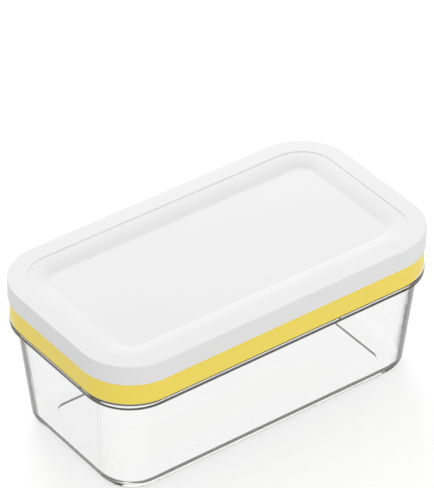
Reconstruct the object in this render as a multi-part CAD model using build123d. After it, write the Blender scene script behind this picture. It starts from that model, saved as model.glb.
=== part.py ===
from build123d import *
import os

# Butter dish with a wire cutter, in millimetres, +Z up, closed as it stands on a table:
# a clear container, a cutter frame strung with wires on its flange, and a lid on the cutter.
# The origin is the middle of the underside of the container's foot.

# Flange round the container's mouth
flange_length = 168.0
flange_width = 92.2
flange_corner = 21.5
flange_thickness = 2.5
flange_top_round = 0.4
flange_bottom_round = 0.3

# Lip that stands on the flange and centres the cutter
lip_inset = 2.6
lip_height = 5.3
lip_wall = 2.1
lip_round = 0.3

# Body of the container, which narrows from the flange down to the foot
body_height = 49.5
body_inset_end = 3.3
body_inset_side = 3.4
body_corner = 16.7
draft_end = 3.6
draft_side = 4.5
foot_round = 5.6
container_wall = 2.0
floor_thickness = 2.8

# Shallow recess under the container, which leaves a foot ring
kick_inset_end = 12.2
kick_inset_side = 10.6
kick_corner = 5.0
kick_depth = 1.3

# Cutter frame: a deep lower ring, and a domed upper ring that sits on its ledge
cutter_margin = 0.2
cutter_corner = 23.2
skirt_height = 10.2
skirt_round = 0.5
deck_thickness = 2.0
inner_wall_rise = 4.1
inner_wall_thickness = 1.6
opening_inset = 7.1
crown_outer_inset = 2.05
crown_inner_inset = 6.5
crown_shoulder_height = 1.9
crown_dome_height = 1.6

# Pegs under the upper ring, in holes through the deck of the lower ring
peg_diameter = 1.6
peg_length = 1.7
side_peg_gaps = (-7.5, -2.5, 2.5, 7.5)
end_peg_spacing = 36.0

# Wires: cross wires from front to back, and one long wire from end to end just above them
wire_diameter = 0.35
wire_pitch = 6.1
cross_wire_count = 19
wire_tail = 1.4

# Lid, with a flat rim round a shallow recess
lid_margin = 0.7
lid_height = 9.2
lid_edge_round = 0.5
lid_rim_width = 8.2
lid_rim_thickness = 2.0
lid_recess_depth = 3.0
lid_recess_step = 0.4
lid_recess_edge_round = 0.2
lid_shoulder_width = 8.8
lid_shoulder_wall = 1.8
lid_floor_round = 3.0
lid_plate_thickness = 1.6

# Clearances, and how far a cut runs past what it cuts
seat_gap = 0.1
lip_clearance = 0.45
lid_clearance = 0.55
peg_clearance = 0.05
wire_clearance = 0.05
cut_over = 1.0

# Levels that the pieces share
flange_bottom = body_height
flange_top = flange_bottom + flange_thickness
lip_top = flange_top + lip_height
skirt_bottom = flange_top + seat_gap
ledge = skirt_bottom + skirt_height
deck_bottom = ledge - deck_thickness
crown_shoulder = ledge + crown_shoulder_height
lid_bottom = ledge + seat_gap
lid_top = lid_bottom + lid_height
lid_floor = lid_top - lid_recess_depth
lid_ceiling = lid_floor - lid_plate_thickness

# The cross wires lie in grooves in the ledge, the long wire in grooves in the upper ring
wire_radius = wire_diameter / 2
groove_radius = wire_radius + wire_clearance
cross_wire_level = ledge - groove_radius
long_wire_level = ledge + groove_radius


class Outline:
    """A rounded rectangle: its length along X, its width along Y and its corner radius."""

    def __init__(self, length, width, corner):
        self.length = length
        self.width = width
        self.corner = corner

    def inset(self, amount):
        """The same outline with each side moved inwards; a negative amount grows it."""
        return Outline(
            self.length - 2 * amount, self.width - 2 * amount, self.corner - amount
        )

    def face(self, level):
        return Pos(0, 0, level) * RectangleRounded(self.length, self.width, self.corner)

    def slab(self, bottom, top):
        return extrude(self.face(bottom), top - bottom)

    def path(self):
        """The outline as a wire at level 0, anticlockwise from the middle of its front."""
        x = self.length / 2
        y = self.width / 2
        centre_x = x - self.corner
        centre_y = y - self.corner
        return Wire(
            [
                Edge.make_line((0, -y), (centre_x, -y)),
                CenterArc((centre_x, -centre_y), self.corner, -90, 90).edge(),
                Edge.make_line((x, -centre_y), (x, centre_y)),
                CenterArc((centre_x, centre_y), self.corner, 0, 90).edge(),
                Edge.make_line((centre_x, y), (-centre_x, y)),
                CenterArc((-centre_x, centre_y), self.corner, 90, 90).edge(),
                Edge.make_line((-x, centre_y), (-x, -centre_y)),
                CenterArc((-centre_x, -centre_y), self.corner, 180, 90).edge(),
                Edge.make_line((-centre_x, -y), (0, -y)),
            ]
        )


def moulding(outline, profile):
    """Carry a profile round an outline: its X is the way inwards, its Y is the level."""
    start = Plane(origin=(0, -outline.width / 2, 0), x_dir=(0, 1, 0), z_dir=(1, 0, 0))
    return sweep(start * profile, path=outline.path())


def body_at(level):
    """The outline of the container's body at a level, by its draft below the flange."""
    drop = (body_height - level) / body_height
    return Outline(
        flange_length - 2 * (body_inset_end + draft_end * drop),
        flange_width - 2 * (body_inset_side + draft_side * drop),
        body_corner,
    )


flange = Outline(flange_length, flange_width, flange_corner)
lip = flange.inset(lip_inset)
foot = body_at(0)
kick = Outline(
    foot.length - 2 * kick_inset_end, foot.width - 2 * kick_inset_side, kick_corner
)
cutter = Outline(
    flange_length + 2 * cutter_margin, flange_width + 2 * cutter_margin, cutter_corner
)
opening = cutter.inset(opening_inset)
crown = cutter.inset(crown_outer_inset)
crown_width = crown_inner_inset - crown_outer_inset
anchor_line = crown.inset(crown_width / 2)
lid_outline = cutter.inset(-lid_margin)
recess = lid_outline.inset(lid_rim_width)


def bottom_edges(solid):
    return solid.faces().sort_by(Axis.Z)[0].edges()


def top_edges(solid):
    return solid.faces().sort_by(Axis.Z)[-1].edges()


def tapered_block(low, bottom, high, top, corner, bottom_round):
    """A block between two levels, its sides sloping, its corners and its bottom rounded."""
    low_face = Pos(0, 0, bottom) * Rectangle(low.length, low.width)
    high_face = Pos(0, 0, top) * Rectangle(high.length, high.width)
    block = loft([low_face, high_face], ruled=True)
    corner_edges = block.edges().group_by(Axis.Z)[1]
    block = fillet(corner_edges, corner)
    return fillet(bottom_edges(block), bottom_round)


def make_container():
    shell = tapered_block(
        foot, 0, body_at(flange_bottom), flange_bottom, body_corner, foot_round
    )
    rim = flange.slab(flange_bottom, flange_top)
    rim = fillet(top_edges(rim), flange_top_round)
    rim = fillet(bottom_edges(rim), flange_bottom_round)
    collar = lip.slab(flange_top, lip_top)
    collar = fillet(top_edges(collar), lip_round)
    floor = body_at(floor_thickness).inset(container_wall)
    throat = body_at(flange_bottom).inset(container_wall)
    mouth = lip.inset(lip_wall)
    floor_round = foot_round - container_wall
    cavity = tapered_block(
        floor, floor_thickness, throat, flange_bottom, throat.corner, floor_round
    )
    brim = cavity.faces().sort_by(Axis.Z)[-1]
    cavity += loft([brim, mouth.face(lip_top)], ruled=True)
    container = shell + rim + collar - cavity - kick.slab(0, kick_depth)
    mouth_edge = container.faces().sort_by(Axis.Z)[-1].inner_wires()[0].edges()
    return fillet(mouth_edge, lip_round)


def upright(positions, radius, bottom, top):
    """A round bar from the bottom level to the top level at each position."""
    middle = (bottom + top) / 2
    return [Pos(x, y, middle) * Cylinder(radius, top - bottom) for x, y in positions]


def peg_positions():
    side_y = anchor_line.width / 2
    end_x = anchor_line.length / 2
    end_y = end_peg_spacing / 2
    sides = [(gap * wire_pitch, y) for gap in side_peg_gaps for y in (-side_y, side_y)]
    ends = [(x, y) for x in (-end_x, end_x) for y in (-end_y, end_y)]
    return sides + ends


def cross_wire_positions():
    middle = (cross_wire_count - 1) / 2
    return [(index - middle) * wire_pitch for index in range(cross_wire_count)]


def make_lower_ring():
    ring = cutter.slab(skirt_bottom, ledge)
    ring = fillet(bottom_edges(ring), skirt_round)
    ring = fillet(top_edges(ring), skirt_round)
    ring -= lip.inset(-lip_clearance).slab(skirt_bottom, deck_bottom)
    inner_wall = opening.inset(-inner_wall_thickness)
    ring += inner_wall.slab(skirt_bottom + inner_wall_rise, ledge)
    ring -= opening.slab(skirt_bottom, ledge)

    side_y = anchor_line.width / 2
    end_x = anchor_line.length / 2
    wires_x = cross_wire_positions()
    tails = [(x, y) for x in wires_x for y in (-side_y, side_y)]
    tails += [(-end_x, 0), (end_x, 0)]
    below = deck_bottom - cut_over
    holes = upright(peg_positions(), peg_diameter / 2 + peg_clearance, below, ledge)
    holes += upright(tails, groove_radius, below, ledge)
    groove = Box(2 * groove_radius, 2 * side_y, 2 * groove_radius)
    grooves = [Pos(x, 0, cross_wire_level) * groove for x in wires_x]
    return ring - holes - grooves


def make_upper_ring():
    middle = crown_width / 2
    dome = Pos(middle, crown_shoulder) * Ellipse(middle, crown_dome_height)
    walls = Pos(middle, (ledge + crown_shoulder) / 2) * Rectangle(
        crown_width, crown_shoulder_height
    )
    full_height = crown_shoulder_height + crown_dome_height
    bounds = Pos(middle, ledge + full_height / 2) * Rectangle(crown_width, full_height)
    ring = moulding(crown, (walls + dome) & bounds)
    ring += upright(peg_positions(), peg_diameter / 2, ledge - peg_length, crown_shoulder)

    end_x = anchor_line.length / 2
    groove = Pos(0, 0, long_wire_level) * Box(2 * end_x, 2 * groove_radius, 2 * groove_radius)
    ends = upright([(-end_x, 0), (end_x, 0)], groove_radius, ledge, ledge + 2 * groove_radius)
    return ring - groove - ends


def make_wire(span):
    """A wire along X, centred on the origin, with both its ends bent straight down."""
    wire = Rot(0, 90, 0) * Cylinder(wire_radius, span)
    for x in (-span / 2, span / 2):
        wire += Pos(x, 0, 0) * Sphere(wire_radius)
        wire += Pos(x, 0, -wire_tail / 2) * Cylinder(wire_radius, wire_tail)
    return wire


def make_lid():
    lid = lid_outline.slab(lid_bottom, lid_top)
    lid = fillet(top_edges(lid), lid_edge_round)
    lid = fillet(bottom_edges(lid), lid_edge_round)

    above = lid_top + cut_over
    shoulder_start = (0, lid_top - lid_recess_step)
    shoulder_end = (lid_shoulder_width, lid_floor)
    shoulder = TangentArc(shoulder_start, shoulder_end, tangent=(1, 0))
    rest = Polyline(shoulder_end, (lid_shoulder_width, above), (0, above), shoulder_start)
    pocket = moulding(recess, make_face(shoulder + rest))
    pocket += recess.inset(lid_shoulder_width).slab(lid_floor, above)
    lid -= fillet(bottom_edges(pocket), lid_floor_round)
    rim_face = lid.faces().sort_by(Axis.Z)[-1]
    lid = fillet(rim_face.inner_wires()[0].edges(), lid_recess_edge_round)

    inside = crown.inset(-lid_clearance)
    trough = inside.slab(lid_bottom, lid_top - lid_rim_thickness)
    trough -= recess.inset(-lid_shoulder_wall).slab(lid_bottom, lid_top)
    return lid - inside.slab(lid_bottom, lid_ceiling) - trough


nodes = {
    "container": make_container(),
    "cutter_lower_ring": make_lower_ring(),
    "cutter_upper_ring": make_upper_ring(),
    "lid": make_lid(),
    "long_wire": Pos(0, 0, long_wire_level) * make_wire(anchor_line.length),
}
cross_wire = Rot(0, 0, 90) * make_wire(anchor_line.width)
for number, x in enumerate(cross_wire_positions(), 1):
    nodes[f"cross_wire_{number:02d}"] = Pos(x, 0, cross_wire_level) * cross_wire

os.makedirs("parts", exist_ok=True)
for name, solid in nodes.items():
    export_step(solid, f"parts/{name}.step")
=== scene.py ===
# %% [markdown]
# # A butter dish with a wire cutter
#
# The dish is three things that lift apart: a clear tub, a yellow frame strung with thin steel
# wires, and a white lid. Their shapes come ready made from the frame, at their real size, so
# this script gives them their finish, lights them, and places the camera.
#
# Everything is in metres, with +Z up and the middle of the tub's foot at the origin.

# %% Load the frame
import math

import bmesh
import bpy
from mathutils import Matrix, Vector

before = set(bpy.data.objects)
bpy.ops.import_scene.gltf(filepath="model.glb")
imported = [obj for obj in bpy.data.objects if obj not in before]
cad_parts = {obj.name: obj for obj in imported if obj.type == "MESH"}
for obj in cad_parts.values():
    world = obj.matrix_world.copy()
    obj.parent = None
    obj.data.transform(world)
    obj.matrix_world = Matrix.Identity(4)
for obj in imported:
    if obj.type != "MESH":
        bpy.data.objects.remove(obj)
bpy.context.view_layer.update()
scene = bpy.context.scene
MM = 0.001

# %% [markdown]
# ## A short way to write materials
#
# A material is a small network of nodes. Writing each node, its settings and its links takes
# several lines, so a few helpers keep the recipes below readable. One adds a node and sets its
# inputs, one starts a material that has only an output, and the others add what most finishes
# here need: a blend of two colours, noise, and the range that the noise is spread over. A Mix
# node has sockets for numbers, vectors and colours under the same names, so its colour sockets
# are called by their numbers.


# %% Node helpers
COLOUR_A = 6
COLOUR_B = 7
COLOUR_RESULT = 2


def add_node(tree, kind, inputs=None, **settings):
    """Add a node, set its properties, and set or link its inputs by name or number."""
    node = tree.nodes.new(kind)
    for name, value in settings.items():
        setattr(node, name, value)
    for name, value in (inputs or {}).items():
        if isinstance(value, bpy.types.NodeSocket):
            tree.links.new(value, node.inputs[name])
        else:
            node.inputs[name].default_value = value
    return node


def start_material(name):
    """A new material, its node tree and the tree's output."""
    material = bpy.data.materials.new(name)
    material.use_nodes = True
    material.node_tree.nodes.clear()
    output = material.node_tree.nodes.new("ShaderNodeOutputMaterial")
    return material, material.node_tree, output


def blend_colours(tree, share, first, second):
    """The first colour where the share is 0, and the second where it is 1."""
    inputs = {0: share, COLOUR_A: first, COLOUR_B: second}
    return add_node(tree, "ShaderNodeMix", inputs, data_type="RGBA").outputs[COLOUR_RESULT]


def noise(tree, scale, detail):
    """Noise from 0 to 1 on Object coordinates, with about scale blotches to the metre."""
    place = add_node(tree, "ShaderNodeTexCoord").outputs["Object"]
    inputs = {"Vector": place, "Scale": scale, "Detail": detail}
    return add_node(tree, "ShaderNodeTexNoise", inputs).outputs[0]


def spread(tree, value, low, high):
    """A value from 0 to 1, spread from low to high."""
    inputs = {"Value": value, "To Min": low, "To Max": high}
    return add_node(tree, "ShaderNodeMapRange", inputs).outputs[0]


# %% [markdown]
# ## Colours
#
# A colour is given in steps from 0 to 255, as a screen shows it. Shaders reckon with the amount
# of light instead, which is not in step with those numbers, so each colour goes through the
# curve of the sRGB standard.


# %% Colours
CURVE_STARTS = 0.04045
CURVE_OFFSET = 0.055
CURVE_POWER = 2.4
SLOPE_BELOW_CURVE = 12.92


def linear(red, green, blue):
    """A screen colour as the linear values that shaders use."""

    def channel(value):
        share = value / 255
        if share <= CURVE_STARTS:
            return share / SLOPE_BELOW_CURVE
        return ((share + CURVE_OFFSET) / (1 + CURVE_OFFSET)) ** CURVE_POWER

    return (channel(red), channel(green), channel(blue), 1.0)


print("a grey of 128 gives", round(linear(128, 128, 128)[0], 3), "of the light that white does")

# %% [markdown]
# ## Moulded plastic
#
# The lid and the cutter's rings are injection moulded. Such a surface is never quite even: the
# pigment drifts a little over centimetres, and the steel of the mould leaves a faint texture of
# a millimetre and finer, which breaks up the gloss. Both are noise on Object coordinates, so
# the pattern stays with the piece when it moves.


# %% Moulded plastic
PLASTIC_IOR = 1.49
PIGMENT_SCALE = 18.0
PIGMENT_DETAIL = 2.0
MOULD_SCALE = 900.0
MOULD_DETAIL = 3.0
MOULD_STRENGTH = 0.25
MOULD_DEPTH = 0.02 * MM
GLOSS_DRIFT = 0.05
LID_WHITE = linear(240, 240, 240)
LID_WHITE_DRIFT = linear(238, 238, 238)
CUTTER_YELLOW = linear(255, 231, 93)
CUTTER_YELLOW_DRIFT = linear(254, 228, 89)


def moulded_plastic(name, light, dark, roughness):
    material, tree, output = start_material(name)
    colour = blend_colours(tree, noise(tree, PIGMENT_SCALE, PIGMENT_DETAIL), light, dark)
    fine = noise(tree, MOULD_SCALE, MOULD_DETAIL)
    gloss = spread(tree, fine, roughness - GLOSS_DRIFT, roughness + GLOSS_DRIFT)
    texture = add_node(
        tree,
        "ShaderNodeBump",
        {"Height": fine, "Strength": MOULD_STRENGTH, "Distance": MOULD_DEPTH},
    )
    shader = add_node(
        tree,
        "ShaderNodeBsdfPrincipled",
        {
            "Base Color": colour,
            "Roughness": gloss,
            "Normal": texture.outputs[0],
            "IOR": PLASTIC_IOR,
        },
    )
    tree.links.new(shader.outputs[0], output.inputs["Surface"])
    return material


white_plastic = moulded_plastic(
    "white_lid_plastic", light=LID_WHITE, dark=LID_WHITE_DRIFT, roughness=0.42
)
yellow_plastic = moulded_plastic(
    "yellow_cutter_plastic", light=CUTTER_YELLOW, dark=CUTTER_YELLOW_DRIFT, roughness=0.36
)
print("made:", white_plastic.name, yellow_plastic.name)

# %% [markdown]
# ## Clear plastic
#
# The tub is clear resin, polished so well that only a trace of haze is left on it. It bends
# light as glass does and takes a little of it on the way, so its edges, where light runs a long
# way inside the wall, turn grey. A Volume Absorption with one even tint does that. The crisp grey
# bands round the rims are painted shade in the floor and the world, set further down. The glare
# of the walls is toned down with Specular Tint, because the real ones show hardly any.

# %% Clear plastic
HAZE_SCALE = 60.0
HAZE_DETAIL = 2.0
HAZIEST = 0.02
RESIN_GLARE = (0.3, 0.3, 0.3, 1.0)
RESIN_TINT = (0.80, 0.80, 0.78, 1.0)
RESIN_DENSITY = 14.0
CLEAR = (1.0, 1.0, 1.0, 1.0)

clear_plastic, tree, output = start_material("clear_tub_resin")
haze = spread(tree, noise(tree, HAZE_SCALE, HAZE_DETAIL), 0.0, HAZIEST)
resin = add_node(
    tree,
    "ShaderNodeBsdfPrincipled",
    {
        "Base Color": CLEAR,
        "Roughness": haze,
        "IOR": PLASTIC_IOR,
        "Transmission Weight": 1.0,
        "Specular Tint": RESIN_GLARE,
    },
)
tint = add_node(
    tree, "ShaderNodeVolumeAbsorption", {"Color": RESIN_TINT, "Density": RESIN_DENSITY}
)
tree.links.new(resin.outputs[0], output.inputs["Surface"])
tree.links.new(tint.outputs[0], output.inputs["Volume"])
print("made:", clear_plastic.name)

# %% [markdown]
# ## Drawn steel wire
#
# A wire is pulled through a die, which scratches it finely. On a wire of a third of a
# millimetre no scratch is seen by itself, but the gloss changes from one spot to the next, so
# noise finer than half a millimetre changes the roughness.

# %% Drawn wire
SCRATCH_SCALE = 2500.0
SCRATCH_DETAIL = 2.0
STEEL_SMOOTHEST = 0.2
STEEL_ROUGHEST = 0.4
STEEL = linear(250, 251, 252)

steel_wire, tree, output = start_material("drawn_steel_wire")
scratches = noise(tree, SCRATCH_SCALE, SCRATCH_DETAIL)
worn = spread(tree, scratches, STEEL_SMOOTHEST, STEEL_ROUGHEST)
steel = add_node(
    tree,
    "ShaderNodeBsdfPrincipled",
    {"Base Color": STEEL, "Metallic": 1.0, "Roughness": worn},
)
tree.links.new(steel.outputs[0], output.inputs["Surface"])
print("made:", steel_wire.name)

# %% [markdown]
# ## Finish of each piece
#
# The tub is clear, both rings of the cutter are yellow, the lid is white, and every other node
# is a wire.

# %% Give each node its material
FINISH = {
    "container": clear_plastic,
    "cutter_lower_ring": yellow_plastic,
    "cutter_upper_ring": yellow_plastic,
    "lid": white_plastic,
}
for name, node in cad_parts.items():
    for slot in node.material_slots:
        slot.material = FINISH.get(name, steel_wire)
finished = [len(node.material_slots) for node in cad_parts.values()]
print("slots per node: from", min(finished), "to", max(finished))

# %% [markdown]
# ## What shows through the clear tub
#
# A photographer lights clear plastic with a bright card behind and under it, and a dark room
# beyond. Light that goes straight through a wall shows the card, so the wall vanishes. Light
# that is turned inside a rim or a corner would end up in the dark room and draw crisp grey
# bands. There is no dark room here: the grey is painted shade, which the floor and the world
# show only to rays that went round a rim. They can tell such a ray apart, because each ray knows
# how many surfaces it has met and how often it was mirrored. A wall crossed from side to side is
# two surfaces, and two walls are four. From six on, the ray has been round a rim.
#
# Light that runs round the rim is turned many times, and it would end in black at the usual
# limit on the turns of a ray, so that limit is raised.

# %% Surroundings of the clear tub
WHITE = (1.0, 1.0, 1.0, 1.0)
# The grey of the painted shade that a ray round a rim sees in the floor and the world.
PAINTED_RIM_SHADE = linear(124, 124, 123)
SURFACES_ROUND_A_RIM = 6
MOST_TURNS = 200


def maths(tree, operation, first, second):
    """What a Math node makes of two values."""
    inputs = {0: first, 1: second}
    return add_node(tree, "ShaderNodeMath", inputs, operation=operation).outputs[0]


def is_above(tree, value, limit):
    """1 where the value is above the limit, and 0 elsewhere."""
    return maths(tree, "GREATER_THAN", value, limit)


def is_at_least(tree, count, least):
    """1 where a whole number reaches the least that is asked, and 0 elsewhere."""
    halfway_below = least - 0.5
    return is_above(tree, count, halfway_below)


def either(tree, first, second):
    """1 where one of two signals is 1, or both are."""
    return maths(tree, "MAXIMUM", first, second)


def both(tree, first, second):
    """1 where two signals are both 1."""
    return maths(tree, "MINIMUM", first, second)


def white_or_grey(tree, grey):
    """White, or the painted shade of a rim where grey is 1."""
    return blend_colours(tree, grey, WHITE, PAINTED_RIM_SHADE)


scene.cycles.max_bounces = MOST_TURNS
scene.cycles.transmission_bounces = MOST_TURNS
scene.cycles.glossy_bounces = MOST_TURNS
print("a ray may turn", scene.cycles.max_bounces, "times")

# %% [markdown]
# ## Floor
#
# The floor is a sheet of card, a hair below the foot, so that the clear foot has air under it.

# %% Floor sheet
FLOOR_SIZE = 6.0
FLOOR_DROP = 0.2 * MM

floor_mesh = bpy.data.meshes.new("floor")
bm = bmesh.new()
bmesh.ops.create_grid(bm, x_segments=1, y_segments=1, size=FLOOR_SIZE / 2)
bmesh.ops.translate(bm, vec=(0, 0, -FLOOR_DROP), verts=bm.verts)
bm.to_mesh(floor_mesh)
bm.free()
floor = bpy.data.objects.new("floor", floor_mesh)
scene.collection.objects.link(floor)
print("floor:", FLOOR_SIZE, "m across,", FLOOR_DROP / MM, "mm below the foot")

# %% [markdown]
# ## Finish of the floor
#
# To the camera the floor is a grey paper tone with a glow added, which comes out white where
# the light falls and leaves a soft, faint shadow round the tub. A mirror sees it as plain white.
# Where it throws light back up at the sides of the object, it is a pale card.
#
# A ray out of the tub sees white, or the painted shade of a rim. Beside the flat that the foot
# stands on, it sees that painted grey when it was mirrored even once inside the tub: that draws
# the upright edges of the walls and the round of the foot. Under the flat it doesn't, so the
# base stays clear.

# %% White and grey of the floor
FOOT_FLAT_LENGTH = 143.0 * MM
FOOT_FLAT_WIDTH = 65.2 * MM

floor_material, tree, output = start_material("white_floor")
path = add_node(tree, "ShaderNodeLightPath")
spot = add_node(tree, "ShaderNodeTexCoord").outputs["Object"]
spot = add_node(tree, "ShaderNodeVectorMath", {0: spot}, operation="ABSOLUTE").outputs[0]
spot = add_node(tree, "ShaderNodeSeparateXYZ", {0: spot})
beside_foot = either(
    tree,
    is_above(tree, spot.outputs["X"], FOOT_FLAT_LENGTH / 2),
    is_above(tree, spot.outputs["Y"], FOOT_FLAT_WIDTH / 2),
)
round_rim = is_at_least(tree, path.outputs["Ray Depth"], SURFACES_ROUND_A_RIM)
mirrored = is_at_least(tree, path.outputs["Glossy Depth"], 1)
mirrored_beside = both(tree, mirrored, beside_foot)
# Painted shade: grey where the ray went round a rim, or was mirrored and lands beside the foot.
through = white_or_grey(tree, either(tree, round_rim, mirrored_beside))
print("flat under the foot:", round(FOOT_FLAT_LENGTH / MM, 1), "x", round(FOOT_FLAT_WIDTH / MM, 1))

# %% [markdown]
# Each kind of ray then gets its own look of the floor. A Mix Shader whose factor says what kind
# of ray it is does that, and one for each kind makes a short chain.

# %% Looks of the floor
CARD = (0.82, 0.82, 0.82, 1.0)
SHADOW_TONE = (0.45, 0.45, 0.45, 1.0)
FLOOR_GLOW = 0.68

card = add_node(tree, "ShaderNodeBsdfDiffuse", {"Color": CARD})
shaded = add_node(tree, "ShaderNodeBsdfDiffuse", {"Color": SHADOW_TONE})
glow = add_node(tree, "ShaderNodeEmission", {"Color": WHITE, "Strength": FLOOR_GLOW})
shown = add_node(tree, "ShaderNodeAddShader", {0: shaded.outputs[0], 1: glow.outputs[0]})
beyond = add_node(tree, "ShaderNodeEmission", {"Color": through, "Strength": 1.0})
mirror_view = add_node(tree, "ShaderNodeEmission", {"Color": WHITE, "Strength": 1.0})
surface = card
for ray, look in (
    ("Is Camera Ray", shown),
    ("Is Glossy Ray", mirror_view),
    ("Is Transmission Ray", beyond),
):
    surface = add_node(
        tree,
        "ShaderNodeMixShader",
        {0: path.outputs[ray], 1: surface.outputs[0], 2: look.outputs[0]},
    )
tree.links.new(surface.outputs[0], output.inputs["Surface"])
floor_mesh.materials.append(floor_material)
print("floor finish:", floor_mesh.materials[0].name)

# %% [markdown]
# ## Room
#
# The world is soft studio light of one even strength. The camera and a mirror see it as white.
# A ray out of the tub sees white too, or the painted shade of a rim: a grey that stands for a
# dark room. White walls stand round the set up to 20 degrees, so a ray that was mirrored no more
# than once, and leaves lower than that, stays white. From a low camera the base would look like
# a grey sheet without them. The height of a direction is the sine of its angle above the floor.

# %% World
AMBIENT = 0.69
WALL_TOP = math.sin(math.radians(20))

world = bpy.data.worlds.new("studio")
scene.world = world
world.use_nodes = True
tree = world.node_tree
tree.nodes.clear()
output = tree.nodes.new("ShaderNodeOutputWorld")
path = add_node(tree, "ShaderNodeLightPath")
round_rim = is_at_least(tree, path.outputs["Ray Depth"], SURFACES_ROUND_A_RIM)
mirrored_twice = is_at_least(tree, path.outputs["Glossy Depth"], 2)
direction = add_node(tree, "ShaderNodeTexCoord").outputs["Generated"]
height = add_node(tree, "ShaderNodeSeparateXYZ", {0: direction}).outputs["Z"]
# Painted shade: a ray round a rim sees grey above the walls, or after it was mirrored twice.
into_painted_shade = either(tree, mirrored_twice, is_above(tree, height, WALL_TOP))
through = white_or_grey(tree, both(tree, round_rim, into_painted_shade))
lighting = add_node(tree, "ShaderNodeBackground", {"Color": WHITE, "Strength": AMBIENT})
seen = add_node(tree, "ShaderNodeBackground", {"Color": WHITE, "Strength": 1.0})
beyond = add_node(tree, "ShaderNodeBackground", {"Color": through, "Strength": 1.0})
plainly_seen = either(tree, path.outputs["Is Camera Ray"], path.outputs["Is Glossy Ray"])
surface = lighting
for ray, look in ((plainly_seen, seen), (path.outputs["Is Transmission Ray"], beyond)):
    surface = add_node(
        tree,
        "ShaderNodeMixShader",
        {0: ray, 1: surface.outputs[0], 2: look.outputs[0]},
    )
tree.links.new(surface.outputs[0], output.inputs["Surface"])
print("strength of the room's light:", AMBIENT)

# %% [markdown]
# ## Lamps
#
# The key lamp stands high behind the right end. The side of the lid's recess that faces the
# camera falls into soft shade, and so do the near walls of the lid and the cutter. A weaker
# lamp at the front lifts those walls a little, and draws the highlight along the cutter's
# domed ring. Neither shows through the tub, and the key lamp isn't mirrored in the lid, where
# it would wash the recess out.


# %% Lamps
LAMPS_AIM = Vector((0, 0, 0.04))


def area_lamp(name, place, size, power, mirrored):
    """A square lamp that points at the dish, with its size in metres and its power in watts."""
    data = bpy.data.lights.new(name, "AREA")
    data.shape = "SQUARE"
    data.size = size
    data.energy = power
    lamp = bpy.data.objects.new(name, data)
    lamp.location = place
    lamp.rotation_euler = (LAMPS_AIM - Vector(place)).to_track_quat("-Z", "Y").to_euler()
    lamp.visible_glossy = mirrored
    lamp.visible_transmission = False
    scene.collection.objects.link(lamp)
    return lamp


key_lamp = area_lamp("key_lamp", place=(0.4, 0.85, 0.8), size=0.6, power=6.8, mirrored=False)
fill_lamp = area_lamp("fill_lamp", place=(-0.15, -1.25, 0.3), size=0.8, power=2.9, mirrored=True)
print("lamps:", key_lamp.data.energy, "W behind and", fill_lamp.data.energy, "W in front")

# %% [markdown]
# ## Camera
#
# The camera stands where the photograph was taken from: a long lens, well back, about 36
# degrees up and 36 degrees to the left of the long side.

# %% Camera
LENS_PIXELS = 3738.68
PICTURE_WIDTH = 434
SENSOR = 36.0
AZIMUTH = math.radians(-36.434)
ELEVATION = math.radians(36.393)
ROLL = math.radians(-0.146)
DISTANCE = 1.44106
AIM = Vector((-0.048011, -0.063853, 0.1332))
FARTHEST_SEEN = 100.0

back = Vector(
    (
        math.sin(AZIMUTH) * math.cos(ELEVATION),
        -math.cos(AZIMUTH) * math.cos(ELEVATION),
        math.sin(ELEVATION),
    )
)
camera_data = bpy.data.cameras.new("camera")
camera_data.sensor_fit = "HORIZONTAL"
camera_data.sensor_width = SENSOR
camera_data.lens = SENSOR * LENS_PIXELS / PICTURE_WIDTH
camera_data.clip_end = FARTHEST_SEEN
camera = bpy.data.objects.new("camera", camera_data)
turn = back.to_track_quat("Z", "Y") @ Matrix.Rotation(ROLL, 4, "Z").to_quaternion()
camera.rotation_euler = turn.to_euler()
camera.location = AIM + back * DISTANCE
scene.collection.objects.link(camera)
scene.camera = camera
print("camera at:", [round(value, 3) for value in camera.location])
print("lens:", round(camera_data.lens, 1), "mm")

# %% [markdown]
# ## View
#
# The picture is shown with the Standard view transform.

# %% Finish
scene.view_settings.view_transform = "Standard"
